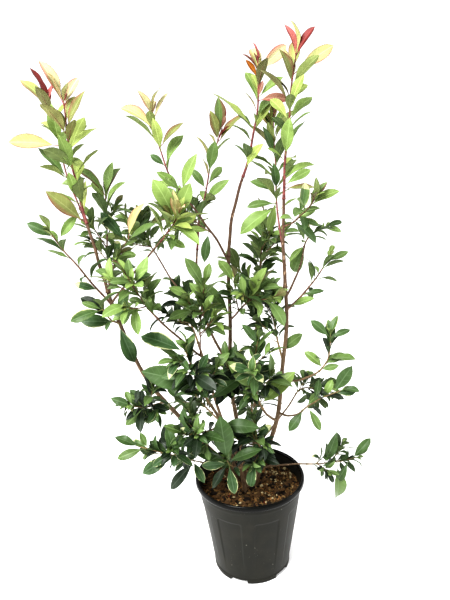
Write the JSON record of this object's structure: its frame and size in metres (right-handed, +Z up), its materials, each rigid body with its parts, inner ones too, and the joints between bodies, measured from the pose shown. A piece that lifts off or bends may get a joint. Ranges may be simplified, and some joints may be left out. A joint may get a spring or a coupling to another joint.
{
  "type": "potted variegated photinia shrub",
  "caption": "Potted variegated photinia: slender woody stems in a ribbed round nursery pot, with tapering boughs and leafy masses, dark below and pale with pink edges on top.",
  "frame": {"origin": "centre of the pot's flat underside, which stands on the ground", "axes": "+Z up from the underside along the pot's axis; -Y is the side seen from in front; +X is to the right in that view"},
  "size_m": [0.6299, 0.4488, 1.0343],
  "materials": {
    "pot_plastic": "moulded black polypropylene, satin, a little dusty",
    "potting_mix": "damp bark and peat crumbs",
    "stem_bark": "smooth tan-brown bark with pores, red on young wood",
    "leaf_deep": "glossy dark green, some with cream margins",
    "leaf_green": "waxy mid green",
    "leaf_lime": "soft pale lime with cream and pink margins"
  },
  "bodies": {
    "root": {"pot": "pot_plastic", "soil": "potting_mix", "stem_left": "stem_bark", "stem_centre": "stem_bark", "stem_right": "stem_bark", "stem_front": "stem_bark", "stem_back": "stem_bark", "stem_back_left": "stem_bark", "bough_left_leader": "stem_bark", "bough_left_front": "stem_bark", "bough_centre_leader": "stem_bark", "bough_centre_left": "stem_bark", "bough_mid_left": "stem_bark", "bough_back_leader": "stem_bark", "bough_back_left": "stem_bark", "bough_right_leader": "stem_bark", "bough_right_back": "stem_bark", "bough_right_front": "stem_bark", "bough_right_low": "stem_bark", "bough_front_middle": "stem_bark", "bough_low_right": "stem_bark", "bough_low_left": "stem_bark", "bough_back_right": "stem_bark", "leaves_left_top": "leaf_lime", "leaves_left_outer": "leaf_lime", "leaves_left_inner": "leaf_green", "leaves_left_far": "leaf_green", "leaves_left_front": "leaf_lime", "leaves_left_middle": "leaf_green", "leaves_left_side": "leaf_deep", "leaves_mid_left": "leaf_green", "leaves_mid_inner": "leaf_green", "leaves_back_left": "leaf_green", "leaves_back_top": "leaf_lime", "leaves_centre_left_top": "leaf_lime", "leaves_centre_left": "leaf_green", "leaves_centre_top": "leaf_lime", "leaves_right_top": "leaf_lime", "leaves_right_inner": "leaf_lime", "leaves_right_upper": "leaf_green", "leaves_right_side": "leaf_green", "leaves_right_back": "leaf_green", "leaves_right_front": "leaf_deep", "leaves_right_low": "leaf_deep", "leaves_low_right": "leaf_deep", "leaves_low_left": "leaf_deep", "leaves_low_side": "leaf_deep", "leaves_front_left": "leaf_deep", "leaves_front_low": "leaf_deep", "leaves_front_rosette": "leaf_deep", "leaves_front_middle": "leaf_deep", "leaves_front_inner": "leaf_deep", "leaves_inner_right": "leaf_deep", "leaves_centre_inner": "leaf_deep", "leaves_centre_upper": "leaf_green", "leaves_rear_top": "leaf_green", "leaves_rear_right": "leaf_deep", "leaves_rear_left": "leaf_deep", "leaves_rear_low": "leaf_deep", "leaves_rear_side": "leaf_deep"}
  },
  "joints": []
}
